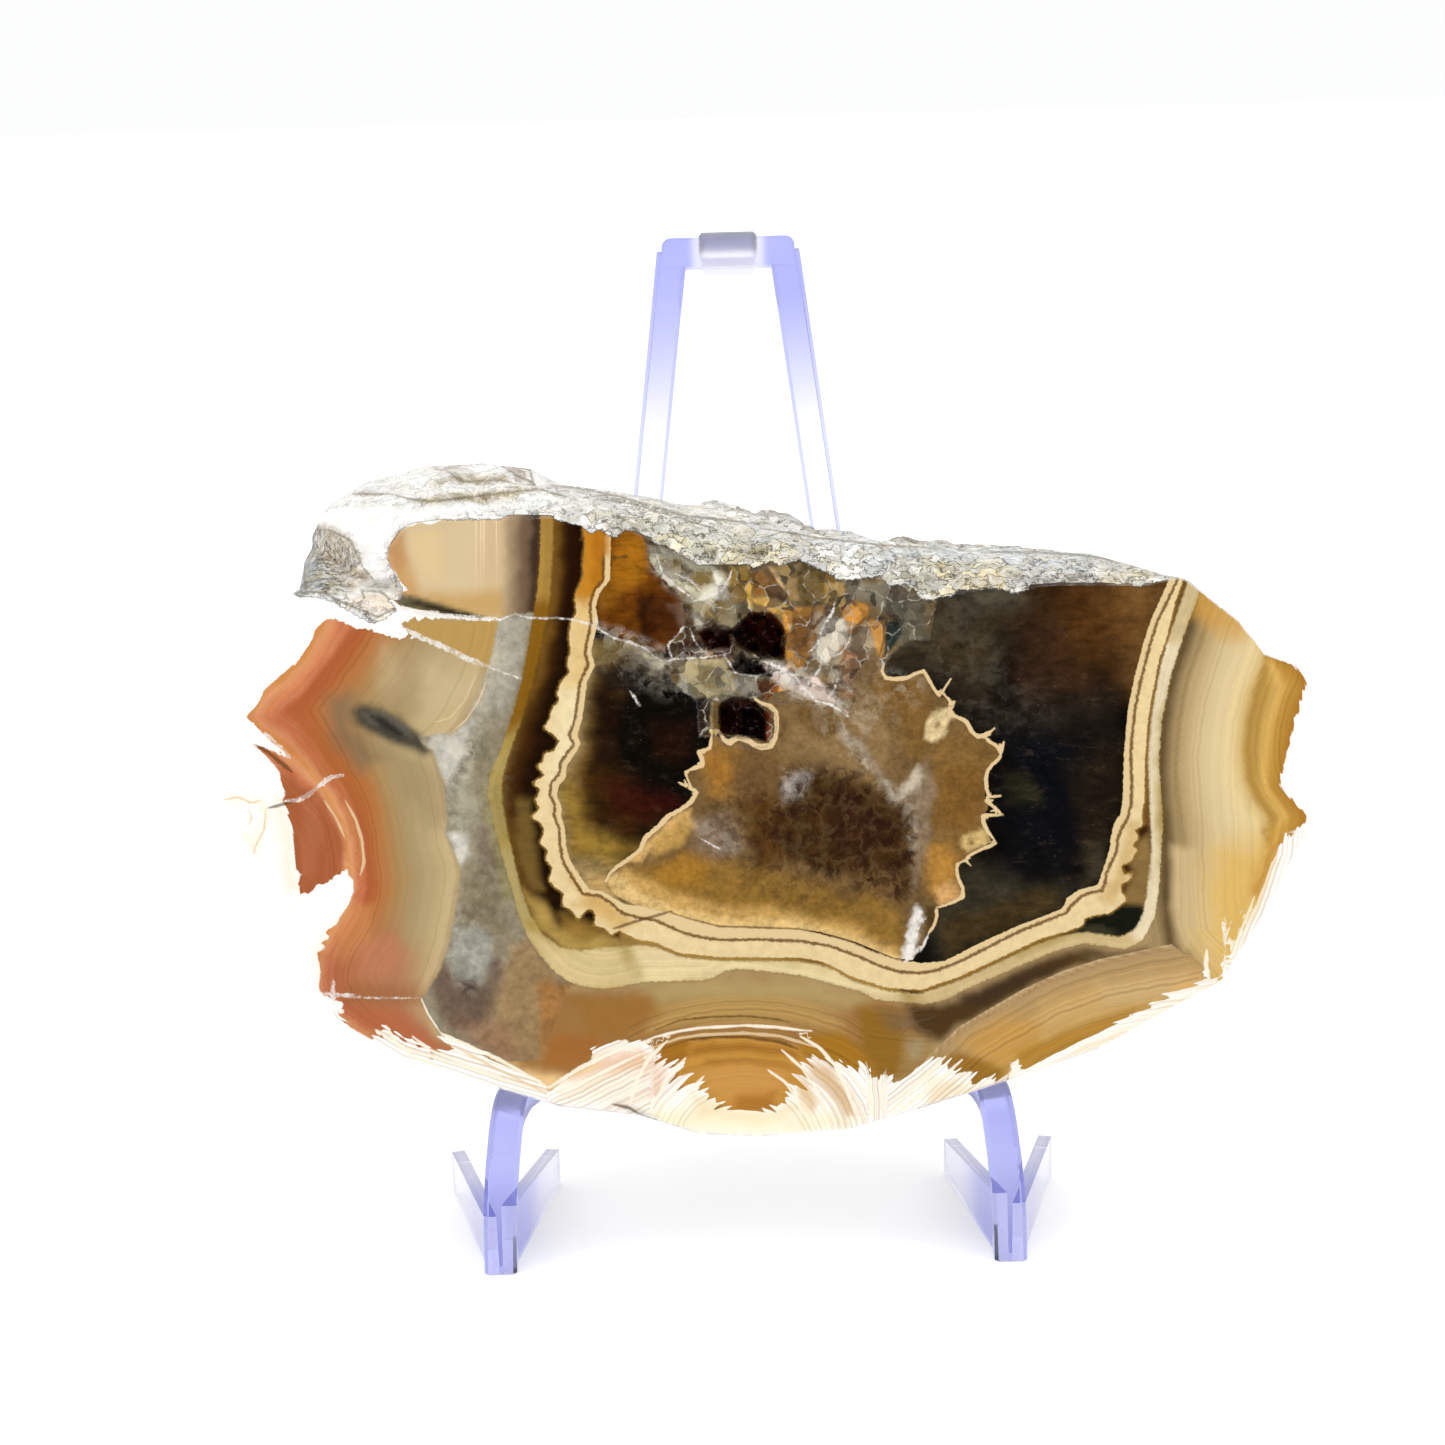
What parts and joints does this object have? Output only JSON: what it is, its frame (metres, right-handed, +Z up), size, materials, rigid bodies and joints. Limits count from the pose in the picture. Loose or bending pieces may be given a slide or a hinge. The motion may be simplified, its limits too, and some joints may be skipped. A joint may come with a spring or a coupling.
{
  "type": "agate half nodule",
  "caption": "Banded agate half nodule with a polished cut face, rough crust and open pits, leaning on a small clear plastic easel.",
  "frame": {"origin": "on the table, at the middle of the space that stone and easel take up", "axes": "+Z up, +X to the right of the polished cut as it is looked at, +Y from the cut towards the easel's rear leg"},
  "size_m": [0.1002, 0.0682, 0.0921],
  "materials": {
    "agate": "polished cut face with tan, cream, red and smoky brown bands, rough grey-white crust",
    "clear_plastic": "clear with a faint lavender tint, glossy"
  },
  "bodies": {
    "root": {"agate_half_nodule": "agate", "clear_easel": "clear_plastic"}
  },
  "joints": []
}
